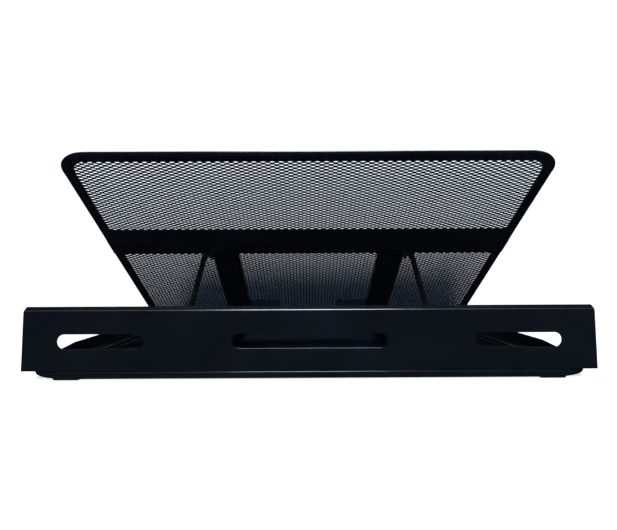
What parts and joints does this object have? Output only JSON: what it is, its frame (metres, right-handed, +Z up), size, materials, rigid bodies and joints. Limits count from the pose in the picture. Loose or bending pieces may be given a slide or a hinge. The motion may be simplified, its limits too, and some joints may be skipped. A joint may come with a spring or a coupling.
{
  "type": "laptop cooling stand",
  "caption": "Folding laptop cooling stand of black sheet steel: a tray with a slotted rear wall carries a tilting mesh deck, propped from below by a wire bail.",
  "frame": {"origin": "middle of the stand's footprint, on the surface that its feet stand on", "axes": "+X across the stand, to the right as seen from the rear wall; +Y from the rear wall to the hinge; +Z up"},
  "size_m": [0.352, 0.333, 0.1477],
  "materials": {
    "powder_coat": "satin black powder coat",
    "expanded_metal": "satin black powder coat on expanded steel",
    "black_steel": "black coated steel wire and rivets",
    "foot_rubber": "matt black"
  },
  "bodies": {
    "base": {"base_rear_rail": "powder_coat", "base_front_rail": "powder_coat", "base_side_rail_left": "powder_coat", "base_side_rail_right": "powder_coat", "base_mesh": "expanded_metal", "base_strip_left": "powder_coat", "base_strip_right": "powder_coat", "foot_rear_left": "foot_rubber", "foot_rear_right": "foot_rubber", "foot_front_left": "foot_rubber", "foot_front_right": "foot_rubber", "rear_wall": "powder_coat", "hinge_pin_left": "black_steel", "hinge_pin_right": "black_steel"},
    "platform": {"platform_rear_rail": "powder_coat", "platform_front_rail": "powder_coat", "platform_side_rail_left": "powder_coat", "platform_side_rail_right": "powder_coat", "platform_mesh": "expanded_metal", "cross_bar": "powder_coat", "platform_strip_left": "powder_coat", "platform_strip_right": "powder_coat", "bail_lug_left": "powder_coat", "bail_lug_right": "powder_coat", "hinge_lug_left": "powder_coat", "hinge_lug_right": "powder_coat", "front_stop_left": "powder_coat", "front_stop_right": "powder_coat"},
    "bail": {"support_bail": "black_steel"}
  },
  "joints": [
    {"name": "platform_tilt", "type": "hinge", "parent": "base", "child": "platform", "pos_m": [0, 0.1415, 0.0136], "axis": [-1, 0, 0], "range_deg": [-24.8, 9]},
    {"name": "bail_swing", "type": "hinge", "parent": "platform", "child": "bail", "pos_m": [0, -0.00796, 0.08112], "axis": [1, 0, 0], "range_deg": [-58, 21]}
  ],
  "couplings": [
    {"joint": "bail_swing", "follows": "platform_tilt", "ratio": 2.33}
  ]
}
